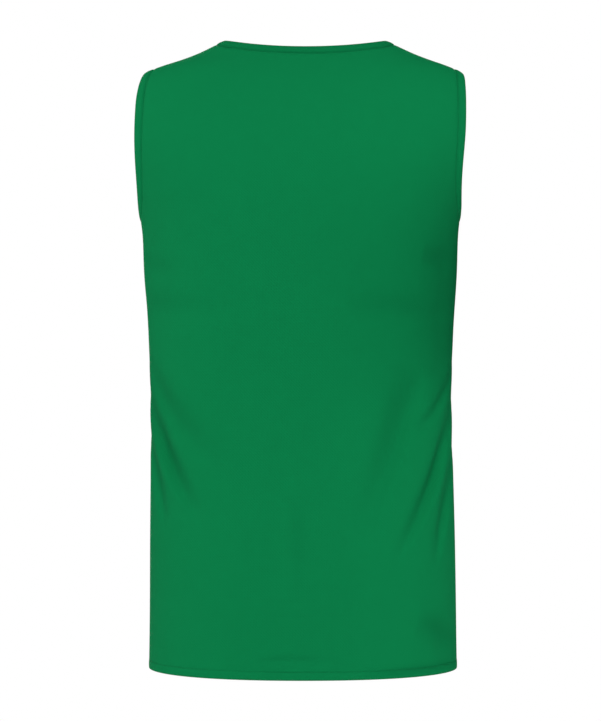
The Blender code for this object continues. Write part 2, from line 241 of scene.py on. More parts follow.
# drape: creases and hollows
# a crease runs through three places; around is in degrees from the middle of the back, positive to
# the wearer's left, past 90 on the front. depth is of the trough, and the lips beside it rise by
# lip times that. Width is half of the trough's, at its start and its end, and the side that lies
# higher is wider by the factor slack. shade is painted shade: how much darker the cloth's colour is
# painted in a band on that side, where the crease's shadow falls.
creaseColumns = ("around1", "height1", "around2", "height2", "around3", "height3",
                 "widthStart", "widthEnd", "depth", "lip", "slack", "shade")
creases = (
    # back, wearer's left hip
    (104, 0.342, 65, 0.243, 38, 0.168, 0.0100, 0.0050, 0.0112, 0.45, 2.7, 0.20),
    (98, 0.285, 76, 0.219, 60, 0.160, 0.0090, 0.0055, 0.0098, 0.45, 2.4, 0.18),
    (92, 0.358, 56, 0.282, 22, 0.210, 0.0090, 0.0160, 0.0056, 0.35, 1.8, 0.10),
    # back, wearer's right hip
    (-102, 0.338, -62, 0.222, -32, 0.118, 0.0100, 0.0045, 0.0102, 0.40, 2.1, 0.19),
    (-98, 0.276, -72, 0.190, -56, 0.116, 0.0090, 0.0050, 0.0088, 0.45, 2.4, 0.17),
    (-96, 0.362, -66, 0.298, -42, 0.262, 0.0060, 0.0055, 0.0040, 0.45, 1.7, 0.12),
    (-50, 0.335, -34, 0.240, -19, 0.156, 0.0130, 0.0100, 0.0080, 0.12, 2.2, 0.11),
    # back, soft cross creases at the waist
    (88, 0.454, 66, 0.446, 44, 0.444, 0.0130, 0.0120, 0.0018, 0.30, 1.3, 0.06),
    (96, 0.412, 60, 0.400, 18, 0.400, 0.0150, 0.0140, 0.0018, 0.20, 1.3, 0.055),
    (-14, 0.402, -46, 0.396, -84, 0.394, 0.0140, 0.0120, 0.0026, 0.30, 1.5, 0.06),
    (-48, 0.456, -66, 0.452, -92, 0.448, 0.0110, 0.0110, 0.0026, 0.30, 1.5, 0.08),
    # the shallow line at the small of the back, the pull at the hem's right corner, a band of painted shade
    # along the hem's right edge, the crease above the hem and two faint ones higher up
    (4, 0.200, 3, 0.140, 3, 0.070, 0.0120, 0.0110, 0.0016, 0.20, 1.2, 0.04),
    (-44, 0.056, -64, 0.034, -88, 0.004, 0.0130, 0.0200, 0.0034, 0.20, 1.4, 0.15),
    (-20, 0.003, -56, 0.004, -98, 0.004, 0.0060, 0.0110, 0.0006, 0.20, 1.2, 0.15),
    (14, 0.0205, 2, 0.0220, -12, 0.0200, 0.0040, 0.0040, 0.0014, 0.50, 1.0, 0.05),
    (13, 0.0840, 2, 0.0835, -10, 0.0838, 0.0026, 0.0026, 0.0005, 0.50, 1.0, 0.02),
    (13, 0.0685, 2, 0.0680, -10, 0.0683, 0.0026, 0.0026, 0.0005, 0.50, 1.0, 0.02),
    # front
    (100, 0.372, 124, 0.292, 146, 0.216, 0.0090, 0.0050, 0.0090, 0.45, 2.3, 0.18),
    (94, 0.256, 112, 0.206, 128, 0.150, 0.0080, 0.0050, 0.0070, 0.45, 2.1, 0.17),
    (-98, 0.362, -122, 0.274, -141, 0.184, 0.0090, 0.0050, 0.0094, 0.45, 2.3, 0.18),
    (-93, 0.262, -110, 0.206, -128, 0.148, 0.0080, 0.0045, 0.0072, 0.45, 2.1, 0.17),
    (138, 0.334, 148, 0.262, 160, 0.190, 0.0110, 0.0080, 0.0066, 0.35, 2.1, 0.08),
    (100, 0.452, 118, 0.444, 140, 0.448, 0.0110, 0.0090, 0.0020, 0.40, 1.3, 0.06),
    (-101, 0.438, -120, 0.428, -145, 0.432, 0.0110, 0.0090, 0.0020, 0.40, 1.3, 0.06),
    (176, 0.0210, 182, 0.0220, 190, 0.0195, 0.0040, 0.0040, 0.0012, 0.50, 1.0, 0.05),
)

# wide shallow hollows (depth over 0) and swells (under 0): an oval bell at a place on the cloth
hollowColumns = ("around", "height", "halfAround", "halfHeight", "depth")
hollows = (
    (-70, 0.400, 0.040, 0.100, 0.0030),  # wearer's right flank, under the shoulder blade
    (66, 0.405, 0.050, 0.085, 0.0014),  # wearer's left flank
    (-1, 0.190, 0.022, 0.070, 0.0016),  # spine, above the hem
    (10, 0.265, 0.016, 0.090, -0.0010),  # beside the spine
    (23, 0.095, 0.034, 0.062, -0.0026),  # seat, left and right
    (-18, 0.110, 0.030, 0.055, -0.0026),
    (-70, 0.030, 0.030, 0.030, 0.0022),  # hem's right corner
    (180, 0.330, 0.050, 0.120, 0.0016),  # front, over the belly
    (140, 0.150, 0.050, 0.080, -0.0014),
    (-142, 0.160, 0.050, 0.080, -0.0014),
)

drapeLook = {
    "pathSteps": 72,
    "reach": 0.06,  # how far from its path a crease is worked out
    "skew": 0.7,  # under 1, a crease is deepest before its middle
    "fade": 1.2,  # how pointed its ends are
    "shadeMiddle": 0.42,  # the painted shade band's middle and half width, in widths of the higher side
    "shadeWidth": 0.58,
    "sideStart": 0.90,  # share of the half width at which the drape starts to fade out
    "sideSpan": 0.09,
    "sideFade": 0.85,
    "steadyHeight": 0.012,  # and it grows from nothing at the hem's edge to all of it here
}


# a place on the form, from degrees round it and the height
def clothPlace(around, height):
    angle = np.radians(around)
    run = runAt(height)
    behind = np.cos(angle)[:, None] >= 0.0
    return np.where(behind, bodyPoint(angle, run, 1), bodyPoint(math.pi - angle, run, -1))


# how far the drape presses each point in: troughs with lips along the creases, bells at the hollows.
# Beside it comes the painted shade: how much darker each place's colour is painted, a band along the
# higher side of every crease.
def drape(points):
    flat = points.reshape(-1, 3)
    depth = np.zeros(len(flat))
    dark = np.zeros(len(flat))
    reach = drapeLook["reach"]
    t = np.linspace(0.0, 1.0, drapeLook["pathSteps"])
    # a curve through three places: the middle one at half way
    first, middle, last = 2 * (t - 0.5) * (t - 1), 4 * t * (1 - t), 2 * t * (t - 0.5)
    for crease in namedRows(creaseColumns, creases):
        around = first * crease["around1"] + middle * crease["around2"] + last * crease["around3"]
        height = first * crease["height1"] + middle * crease["height2"] + last * crease["height3"]
        path = clothPlace(around, height)
        near = np.all((flat > path.min(axis=0) - reach) & (flat < path.max(axis=0) + reach), axis=1)
        offset = flat[near][:, None, :] - path
        nearest = (offset ** 2).sum(axis=-1).argmin(axis=1)
        offset = offset[np.arange(len(offset)), nearest]
        ahead = unit(np.gradient(path, axis=0))[nearest]
        # distance square to the path, but all of it past the path's ends
        beside = (nearest > 0) & (nearest < len(t) - 1)
        along = (offset * ahead).sum(axis=-1) * beside
        distance = np.sqrt(np.maximum((offset ** 2).sum(axis=-1) - along ** 2, 0.0))
        # which side of the path: square to it and to the way out of the cloth, counted upwards
        square = np.cross(ahead, flat[near] * (1.0, 1.0, 0.0))
        above = (square * offset).sum(axis=-1) * square[:, 2] > 0.0
        share = t[nearest]
        width = crease["widthStart"] + share * (crease["widthEnd"] - crease["widthStart"])
        slackWidth = width * crease["slack"]
        q = (distance / np.where(above, slackWidth, width)) ** 2
        fade = np.sin(math.pi * share ** drapeLook["skew"]) ** drapeLook["fade"]
        depth[near] += crease["depth"] * fade * (1.0 - crease["lip"] * q) * np.exp(-q)
        # painted shade: the band's darkening goes into the colour, where the crease's shadow falls
        climb = np.where(above, distance, -distance) / slackWidth
        band = bell((climb - drapeLook["shadeMiddle"]) / drapeLook["shadeWidth"])
        dark[near] += crease["shade"] * fade * band
    for hollow in namedRows(hollowColumns, hollows):
        centre = clothPlace(np.array([hollow["around"]]), np.array([hollow["height"]]))[0]
        away = np.hypot(flat[:, 0] - centre[0], flat[:, 1] - centre[1]) / hollow["halfAround"]
        up = (flat[:, 2] - centre[2]) / hollow["halfHeight"]
        depth += hollow["depth"] * np.exp(-away ** 2 - up ** 2)
    # little of it is left where the cloth turns away at the sides, so that the outline stays whole
    height = heightOf(flat)
    turned = np.abs(flat[:, 0] / ringAt(runAt(height), "halfWidth"))
    turned = np.clip((turned - drapeLook["sideStart"]) / drapeLook["sideSpan"], 0.0, 1.0)
    depth *= 1.0 - drapeLook["sideFade"] * turned ** 1.5
    depth *= np.clip(height / drapeLook["steadyHeight"], 0.0, 1.0)
    return depth.reshape(points.shape[:-1]), dark.reshape(points.shape[:-1])


# shared mesh and node helpers
# the quads between a grid's rows and columns; a closed one joins its last column to its first
def gridFaces(rows, columns, closed=False):
    across = columns if closed else columns - 1
    row, column = np.meshgrid(np.arange(rows - 1), np.arange(across), indexing="ij")
    here = row * columns + column
    right = row * columns + (column + 1) % columns
    return np.stack([here, right, right + columns, here + columns], axis=-1).reshape(-1, 4)


# a mesh from points and quads, with a place on the flat cloth in metres as its UV map; holes with as
# many sides as given, or fewer, are closed
def clothMesh(name, points, faces, flatPlaces, dark=None, holeSides=0):
    mesh = bpy.data.meshes.new(name)
    mesh.vertices.add(len(points))
    mesh.vertices.foreach_set("co", points.astype(np.float32).ravel())
    mesh.loops.add(faces.size)
    mesh.loops.foreach_set("vertex_index", faces.astype(np.int32).ravel())
    mesh.polygons.add(len(faces))
    mesh.polygons.foreach_set("loop_start", np.arange(0, faces.size, 4, dtype=np.int32))
    mesh.update(calc_edges=True)
    uvMap = mesh.uv_layers.new(name="cloth")
    uvMap.uv.foreach_set("vector", flatPlaces[faces.ravel()].astype(np.float32).ravel())
    # the painted shade of each point, kept as the attribute dark
    if dark is not None:
        mesh.attributes.new("dark", "FLOAT", "POINT").data.foreach_set("value", dark.astype(np.float32))
    work = bmesh.new()
    work.from_mesh(mesh)
    bmesh.ops.remove_doubles(work, verts=work.verts, dist=1e-5)
    if holeSides:
        bmesh.ops.holes_fill(work, edges=work.edges, sides=holeSides)
        bmesh.ops.recalc_face_normals(work, faces=work.faces)
    work.to_mesh(mesh)
    work.free()
    mesh.shade_smooth()
    piece = bpy.data.objects.new(name, mesh)
    bpy.context.scene.collection.objects.link(piece)
    return piece


# the cloth's thickness lies inside its points at offset -1, and half on each side at 0
def addWall(piece, thickness, offset=-1.0):
    solid = piece.modifiers.new("wall", "SOLIDIFY")
    solid.thickness = thickness
    solid.offset = offset
    solid.use_even_offset = False


# material and body of a piece
def dress(piece, material):
    piece.data.materials.append(material)
    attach(piece, "root")


# each node is (name, what its type is called after ShaderNode, {property or inlet: value}), and each
# link (from, outlet, to, inlet)
def buildNodes(tree, nodes, links):
    made = {}
    for name, kind, values in nodes:
        node = tree.nodes.new(kind if kind.startswith("NodeGroup") else "ShaderNode" + kind)
        made[name] = node
        for key, value in values.items():
            if isinstance(key, str) and hasattr(node, key):
                setattr(node, key, value)
            else:
                node.inputs[key].default_value = value
    for source, output, target, inlet in links:
        tree.links.new(made[source].outputs[output], made[target].inputs[inlet])
    return made


# a material of these nodes and links, with its output node called output
def nodeMaterial(name, nodes, links):
    material = bpy.data.materials.new(name)
    material.use_nodes = True
    material.node_tree.nodes.clear()
    return material, buildNodes(material.node_tree, [("output", "OutputMaterial", {}), *nodes], links)


# a maths node, with its inlets after the first as given
def mathNode(name, operation, *others):
    return name, "Math", {"operation": operation, **dict(enumerate(others, 1))}


# knit surfaces as node groups
# a group takes a place and the given values through its node in, and gives numbers through its node out
def makeGroup(name, values, outputs, nodes, links):
    group = bpy.data.node_groups.new(name, "ShaderNodeTree")
    group.interface.new_socket("Place", in_out="INPUT", socket_type="NodeSocketVector")
    for label, value in values.items():
        socket = group.interface.new_socket(label, in_out="INPUT", socket_type="NodeSocketFloat")
        socket.default_value = value
    for label in outputs:
        group.interface.new_socket(label, in_out="OUTPUT", socket_type="NodeSocketFloat")
    buildNodes(group, [("in", "NodeGroupInput", {}), ("out", "NodeGroupOutput", {}), *nodes], links)
    return group


# fine mesh knit: columns of loops, and small eyelets set in staggered rows
def makeKnitGroup():
    nodes = [
        ("eyeScale", "VectorMath", {"operation": "SCALE"}),
        ("eyeSplit", "SeparateXYZ", {}),
        mathNode("dots", "MULTIPLY"),
        ("dotEdge", "MapRange", {
            "interpolation_type": "SMOOTHSTEP", "From Min": 0.45, "From Max": 0.85}),
        # loops: ribs of stitches, each leaning to its own side
        ("loopScale", "VectorMath", {"operation": "SCALE"}),
        ("loopSplit", "SeparateXYZ", {}),
        mathNode("ribTurn", "MULTIPLY", 2 * math.pi),
        mathNode("rib", "COSINE"),
        mathNode("lean", "MULTIPLY", 1.4),
        mathNode("rowTurn", "MULTIPLY", 2 * math.pi),
        mathNode("rowLean", "ADD"),
        mathNode("row", "SINE"),
        mathNode("rowShare", "MULTIPLY", 0.5),
        mathNode("loops", "ADD"),
        mathNode("loopShare", "MULTIPLY", 0.30),
        mathNode("height", "SUBTRACT"),
    ]
    links = [
        ("in", "Place", "eyeScale", 0), ("in", "Eyelets per metre", "eyeScale", "Scale"),
        ("eyeScale", 0, "eyeSplit", 0), ("dots", 0, "dotEdge", "Value"), ("dotEdge", 0, "out", "Eyelet"),
        ("in", "Place", "loopScale", 0), ("in", "Loops per metre", "loopScale", "Scale"),
        ("loopScale", 0, "loopSplit", 0),
        ("loopSplit", "X", "ribTurn", 0), ("ribTurn", 0, "rib", 0), ("rib", 0, "lean", 0),
        ("loopSplit", "Y", "rowTurn", 0), ("rowTurn", 0, "rowLean", 0), ("lean", 0, "rowLean", 1),
        ("rowLean", 0, "row", 0), ("row", 0, "rowShare", 0),
        ("rib", 0, "loops", 0), ("rowShare", 0, "loops", 1), ("loops", 0, "loopShare", 0),
        ("loopShare", 0, "height", 0), ("dotEdge", 0, "height", 1), ("height", 0, "out", "Height"),
    ]
    # eyelets: sin^2(pi (x + y)) sin^2(pi (x - y)) gives a staggered grid of dots
    for inlet, (name, operation) in enumerate((("sum", "ADD"), ("difference", "SUBTRACT"))):
        turn, wave, square = name + "Turn", name + "Wave", name + "Square"
        nodes += [mathNode(name, operation), mathNode(turn, "MULTIPLY", math.pi), mathNode(wave, "SINE"),
                  mathNode(square, "MULTIPLY")]
        links += [("eyeSplit", "X", name, 0), ("eyeSplit", "Y", name, 1), (name, 0, turn, 0),
                  (turn, 0, wave, 0), (wave, 0, square, 0), (wave, 0, square, 1),
                  (square, 0, "dots", inlet)]
    return makeGroup("meshKnit", {"Eyelets per metre": 300.0, "Loops per metre": 1100.0},
                     ("Height", "Eyelet"), nodes, links)


# uneven dye and wear of the cloth: two sizes of soft cloudiness round one
def makeDyeGroup():
    nodes = [
        ("broad", "TexNoise", {"Scale": 9.0, "Detail": 2.0, "Roughness": 0.5}),
        ("small", "TexNoise", {"Scale": 60.0, "Detail": 3.0, "Roughness": 0.6}),
        mathNode("both", "ADD"),
        mathNode("centred", "SUBTRACT", 1.0),
        mathNode("scaled", "MULTIPLY"),
        mathNode("one", "ADD", 1.0),
    ]
    links = [
        ("in", "Place", "broad", "Vector"), ("in", "Place", "small", "Vector"),
        ("broad", "Fac", "both", 0), ("small", "Fac", "both", 1),
        ("both", 0, "centred", 0), ("centred", 0, "scaled", 0), ("in", "Amount", "scaled", 1),
        ("scaled", 0, "one", 0), ("one", 0, "out", "Factor"),
    ]
    return makeGroup("unevenDye", {"Amount": 0.05}, ("Factor",), nodes, links)


knitGroup = makeKnitGroup()
dyeGroup = makeDyeGroup()

knitLook = {
    "colour": (0.0034, 0.199, 0.0621, 1.0),
    "eyeletShade": 0.80,  # an eyelet's colour as a share of the cloth's
    "dye": 0.06,
    "roughness": 0.82,
    "specular": 0.02,
    "gleam": (0.10, 1.0, 0.45, 1.0),
    "sheen": 0.05,
    "sheenTint": (0.05, 0.80, 0.35, 1.0),
    "bump": 0.35,
    "bumpDepth": 0.00022,
    "eyelets": 300.0,
    "loops": 1100.0,
}


# knit material: dyed colour, darker in the eyelets and darkened by the painted shade in the mesh's
# attribute dark, with the knit's relief as bump
def makeKnitMaterial(name, look):
    nodes = [
        ("shader", "BsdfPrincipled", {
            "Roughness": look["roughness"], "Specular IOR Level": look["specular"],
            "Specular Tint": look["gleam"], "Sheen Weight": look["sheen"],
            "Sheen Tint": look["sheenTint"], "Sheen Roughness": 0.5}),
        ("flatPlace", "UVMap", {"uv_map": "cloth"}),
        ("place", "TexCoord", {}),
        ("knit", "Group", {
            "node_tree": knitGroup, "Eyelets per metre": look["eyelets"],
            "Loops per metre": look["loops"]}),
        ("dye", "Group", {"node_tree": dyeGroup, "Amount": look["dye"]}),
        ("eyeletShade", "MapRange", {"To Min": 1.0, "To Max": look["eyeletShade"]}),
        mathNode("dyed", "MULTIPLY"),
        # painted shade: the attribute dark, from creases, seams and edges, darkens the base colour
        ("fold", "Attribute", {"attribute_name": "dark"}),
        ("lit", "Math", {"operation": "SUBTRACT", 0: 1.0}),
        mathNode("shade", "MULTIPLY"),
        # from black at factor 0 to the dyed colour at 1, and a little past it
        ("tint", "Mix", {
            "data_type": "RGBA", "clamp_factor": False, 6: (0.0, 0.0, 0.0, 1.0), 7: look["colour"]}),
        ("bump", "Bump", {"Strength": look["bump"], "Distance": look["bumpDepth"]}),
    ]
    links = [
        ("flatPlace", 0, "knit", "Place"), ("place", "Object", "dye", "Place"),
        ("knit", "Eyelet", "eyeletShade", "Value"),
        ("eyeletShade", 0, "dyed", 0), ("dye", "Factor", "dyed", 1),
        ("fold", "Fac", "lit", 1), ("dyed", 0, "shade", 0), ("lit", 0, "shade", 1),
        ("shade", 0, "tint", 0), ("tint", 2, "shader", "Base Color"),
        ("knit", "Height", "bump", "Height"), ("bump", 0, "shader", "Normal"),
        ("shader", 0, "output", "Surface"),
    ]
    return nodeMaterial(name, nodes, links)[0]


knitMaterial = makeKnitMaterial("greenMeshKnit", knitLook)
print("materials made")

# panels
panelLook = {
    "wall": 0.0008,
    "cell": 0.0030,  # about the size of a cell in the open cloth
    "seamDip": 0.0010,  # how far the cloth dips at a seam
    "seamDipWidth": 0.0017,
    "seamShade": 0.13,  # painted shade: how much darker the cloth's colour is painted right at a seam, in its dip
    "seamReach": 0.012,  # how far from a seam its distance is worked out
    # painted shade along the hem's lower edge: this much darker, fading out over this height
    "hemShade": 0.09,
    "hemShadeHeight": 0.0016,
    "hemDepth": 0.0090,  # turned-up cloth, from the edge to its stitches
    "hemPuff": 0.00030,
    "hemDitch": 0.00032,
    "hemDitchWidth": 0.0008,
    "endRelief": 0.9,  # the share of the dip that is missing where the outline crosses a seam
    "underNeck": 0.58,  # the share of the chest's half width that lies under the neck
    "chestHeight": 0.075,  # rough heights of the chest beside the armhole, and of the strap
    "strapHeight": 0.070,
}
armholeCorner, strapFoot, neckCorner = math.radians(75), math.radians(125), math.radians(50)
crossingHeight = {1: 0.555, -1: 0.530}  # of the chest's lowest row, at the middle of the back and front
seamFine = (0.0007, 0.0014, 0.0022, 0.0034, 0.0052)  # rows close to a seam, by their distance from it
# rows of the hem, as shares of its depth, closest at its stitches
hemShares = (0.0, 0.13, 0.33, 0.56, 0.76, 0.89, 0.96, 1.0, 1.04, 1.13, 1.29)
# rows of the turned-up cloth, from its raw edge down: how far inside the face, and above the hem's edge
turnedRows = ((0.0018, 0.0098), (0.0018, 0.0070), (0.0018, 0.0035), (0.001662, 0.0010),
              (0.001246, 0.0002), (0.000623, -0.0002))
besideSide = 1.5697  # just short of a quarter turn, where the form's normal is still well defined


# shares from 0 to 1 in even steps, with fine steps near either end; sizes are in metres
def gradedShares(length, fineStart=(), fineEnd=seamFine):
    start = np.array(fineStart)
    end = length - np.array(fineEnd)[::-1]
    lowest = start[-1] if len(start) else 0.0
    highest = end[0] if len(end) else length
    count = max(2, int(round((highest - lowest) / panelLook["cell"])))
    even = np.linspace(lowest, highest, count + 1)
    return np.unique(np.concatenate(([0.0], start, even, end, [length]))) / length


# Coons patch: rows between bottom and top, plus columns between left and right, less the corners' blend
def patch(bottom, top, left, right, up, across):
    across = across[None, :, None]
    up = up[:, None, None]
    rows = (1 - up) * bottom + up * top
    columns = (1 - across) * left[:, None] + across * right[:, None]
    low = (1 - across) * bottom[0] + across * bottom[-1]
    high = (1 - across) * top[0] + across * top[-1]
    return rows + columns - (1 - up) * low - up * high


# angles and runs as pairs
def places(angle, run):
    return np.stack(np.broadcast_arrays(angle, run), axis=-1)


# 6 s^5 - 15 s^4 + 10 s^3, which is level at 0 and at 1
def ease(share):
    return share ** 3 * (share * (6 * share - 15) + 10)


# half a panel as three grids of (angle, run): body, chest and strap, finer towards the seams
def halfPanel(facing):
    crossing = runAt(crossingHeight[facing])
    corner = armholeEdge(armholeCorner, facing)
    cornerArc = arcLength(corner[0], corner[1], facing)
    # columns
    inner = panelLook["underNeck"]
    neckLowShare = gradedShares(cornerArc * inner, fineEnd=())
    strapShare = gradedShares(cornerArc * (1.0 - inner))
    chestShare = np.concatenate((neckLowShare * inner, inner + strapShare[1:] * (1.0 - inner)))
    underArc = arcLength(math.pi / 2, 0.2, facing) - arcLength(corner[0], 0.2, facing)
    underShare = gradedShares(underArc, fineStart=seamFine[1:3])
    armLow = armholeEdge(armholeCorner * underShare[::-1], facing)
    # rows
    seamHeight = form["underarm"]
    hemRows = panelLook["hemDepth"] * np.array(hemShares)
    rest = seamHeight - hemRows[-1]
    upRows = hemRows[-1] + gradedShares(rest)[1:] * rest
    rowHeight = np.concatenate((hemRows, upRows))
    rise = (rowHeight / seamHeight) ** 2
    seamRun = runAt(rowHeight)
    middleRun = seamRun + (crossing - seamRun[-1]) * rise
    # the row across the chest from the middle to the armhole, level at both ends
    chestRow = places(chestShare * corner[0], crossing + (corner[1] - crossing) * ease(chestShare))
    bodyTop = np.concatenate((chestRow, armLow[1:]))
    underAngle = corner[0] + underShare[1:] * (math.pi / 2 - corner[0])
    hemAngle = np.concatenate((chestShare * corner[0], underAngle))
    body = patch(places(hemAngle, 0.0), bodyTop, places(0.0, middleRun), places(math.pi / 2, seamRun),
                 rise, np.linspace(0, 1, len(hemAngle)))
    # chest
    chestUp = gradedShares(panelLook["chestHeight"])
    armChest = armholeEdge(armholeCorner + chestUp * (strapFoot - armholeCorner), facing)
    neckLow = neckEdge(neckLowShare * neckCorner, facing)
    strapRow = neckLow[-1] + strapShare[:, None] * (armChest[-1] - neckLow[-1])
    chestTop = np.concatenate((neckLow, strapRow[1:]))
    middle = places(0.0, crossing + chestUp * (neckLow[0, 1] - crossing))
    chest = patch(chestRow, chestTop, middle, armChest, chestUp, chestShare)
    # strap
    strapUp = gradedShares(panelLook["strapHeight"])
    armStrap = armholeEdge(strapFoot + strapUp * (math.pi - strapFoot), facing)
    neckStrap = neckEdge(neckCorner + strapUp * (math.pi / 2 - neckCorner), facing)
    shoulderSeam = neckStrap[-1] + strapShare[:, None] * (armStrap[-1] - neckStrap[-1])
    strap = patch(strapRow, shoulderSeam, neckStrap, armStrap, strapUp, strapShare)
    return body, chest, strap


# seam lines as dense points, for the dip beside them
def seamPoints(edge, facing, span, samples=700):
    place = edge(np.linspace(0.0, span, samples), facing)
    half = bodyPoint(place[:, 0], place[:, 1], facing)
    other = bodyPoint(-place[:, 0], place[:, 1], facing)
    return np.concatenate((half, other))


# distance from points to the nearest of the seam's points, and just the reach where that is farther
def nearestDistance(points, seam, reach, parts=24):
    flat = points.reshape(-1, 3)
    found = np.full(len(flat), reach)
    for part in np.array_split(seam, parts):
        near = np.all((flat > part.min(axis=0) - reach) & (flat < part.max(axis=0) + reach), axis=1)
        apart = np.linalg.norm(flat[near][:, None, :] - part, axis=-1).min(axis=1)
        found[near] = np.minimum(found[near], apart)
    return found.reshape(points.shape[:-1])


# how near a place is to the top of the shoulder: a bell across the shoulder seam, that fades out
# between 30 and 60 mm below the origin
def shoulderTop(points, across=0.012):
    return bell(points[..., 1] / across) * np.clip((points[..., 2] + 0.06) / 0.03, 0.0, 1.0)


# how near a place is to the lowest point of the armhole: a bell across it and up
def underarmPoint(points, across=0.020, up=0.012):
    above = heightOf(points) - form["underarm"]
    return np.exp(-(points[..., 1] / across) ** 2 - (above / up) ** 2)


# outer face of the cloth: the form, pressed in by the drape, dipped at seams and puffed at the hem;
# beside it comes the painted shade of its creases, its seams and the hem's lower edge
def clothPoints(angle, run, facing, seams):
    points = bodyPoint(angle, run, facing)
    outward = levelOutward(angle, run, facing)
    normal = surfaceNormal(np.clip(angle, -besideSide, besideSide), run, facing)
    height = heightOf(points)
    away = np.minimum(np.abs(points[..., 1]), nearestDistance(points, seams, panelLook["seamReach"]))
    near = bell(away / panelLook["seamDipWidth"])
    relief = panelLook["endRelief"] * (shoulderTop(points) + underarmPoint(points))
    dip = panelLook["seamDip"] * near * (1.0 - relief)
    hem = panelLook["hemDepth"]
    puff = panelLook["hemPuff"] * np.sin(math.pi * np.clip(height / hem, 0.0, 1.0)) ** 0.6
    ditch = panelLook["hemDitch"] * bell((height - hem) / panelLook["hemDitchWidth"])
    depth, dark = drape(points)
    points = points - outward * depth[..., None]
    points += outward * (puff - ditch)[..., None] - normal * dip[..., None]
    points[..., 1] += facing * form["seamGap"] / 2.0
    # painted shade where the hem's lower edge turns under
    hemDark = panelLook["hemShade"] * bell(height / panelLook["hemShadeHeight"])
    return points, dark + (panelLook["seamShade"] * near ** 2 + hemDark)


# the hem's cloth goes on inside: rows moved in and up from the edge, ahead of the outer ones
def turnUpHem(points, flat, dark, outward):
    inside, insideFlat = [], []
    for deep, rise in turnedRows:
        row = points[:1] - outward * deep
        row[..., 2] = points[:1, :, 2] + rise
        inside.append(row)
        insideFlat.append(flat[:1] - np.array((0.0, 0.002 + rise)))
    dark = np.concatenate([dark[:1]] * len(inside) + [dark])
    return np.concatenate(inside + [points]), np.concatenate(insideFlat + [flat]), dark


# a panel: its three grids and their mirrored ones, welded where they meet
def makePanel(name, node, facing):
    seams = np.concatenate((
        seamPoints(armholeEdge, facing, math.pi),
        seamPoints(neckEdge, facing, math.pi / 2),
    ))
    parts = []
    count = 0
    for grid, hemmed in zip(halfPanel(facing), (True, False, False)):
        for side in (1, -1):
            angle, run = side * grid[..., 0], grid[..., 1]
            points, dark = clothPoints(angle, run, facing, seams)
            flat = np.stack([arcLength(angle, run, facing) * facing, run], axis=-1)
            if hemmed:
                points, flat, dark = turnUpHem(points, flat, dark, levelOutward(angle[:1], run[:1], facing))
            if side == facing:
                points, flat, dark = points[:, ::-1], flat[:, ::-1], dark[:, ::-1]
            faces = gridFaces(*dark.shape) + count
            parts.append((points.reshape(-1, 3), faces, flat.reshape(-1, 2), dark.ravel()))
            count += dark.size
    panel = clothMesh(name, *map(np.concatenate, zip(*parts)))
    addWall(panel, panelLook["wall"])
    dress(panel, knitMaterial)
    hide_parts(node)
    return panel


backPanel = makePanel("back_cloth", "back_panel", 1)
frontPanel = makePanel("front_cloth", "front_panel", -1)
print("panels made", len(backPanel.data.polygons), len(frontPanel.data.polygons))

# bindings
bindingLook = {
    "width": 0.0105,
    "thickness": 0.0022,  # both layers together
    "wall": 0.0008,  # one layer
    "tuck": 0.0018,  # how far its raw edges reach under the panel
    "crown": 0.00045,
    "dive": 0.0013,  # how deep the outer layer goes under the panel's edge
    "diveStart": 0.0008,  # half of that lies this far out from the seam
    "diveSoftness": 0.00035,
    "sink": 0.0007,  # the strip's middle lies this far inside the panel's face
    "endSink": 0.0004,  # and this much farther on the shoulder and under the arm
    # painted shade: a dark band on the strip beside its seam, and one along its folded rim
    "seamShade": 0.13,
    "seamShadeWidth": 0.0015,
    "rimShade": 0.12,
    "rimShadeWidth": 0.0014,
    "steps": 260,  # round an armhole; the neck has about as many
    "closeEnd": 0.0022,  # rows on the outer layer: close ones out to here
    "openStart": 0.0034,  # and as many from here to the fold
    "outerRows": 7,
    "foldRows": 9,
    "innerRows": 8,
}
bindingKnit = {**knitLook, "eyelets": 700.0, "eyeletShade": 0.93, "loops": 1300.0}
armholeKnit = {**bindingKnit, "colour": (0.0034, 0.194, 0.0606, 1.0)}
neckKnit = {**bindingKnit, "colour": (0.0031, 0.176, 0.0551, 1.0)}
armholeMaterial = makeKnitMaterial("greenArmholeKnit", armholeKnit)
neckMaterial = makeKnitMaterial("greenNeckKnit", neckKnit)


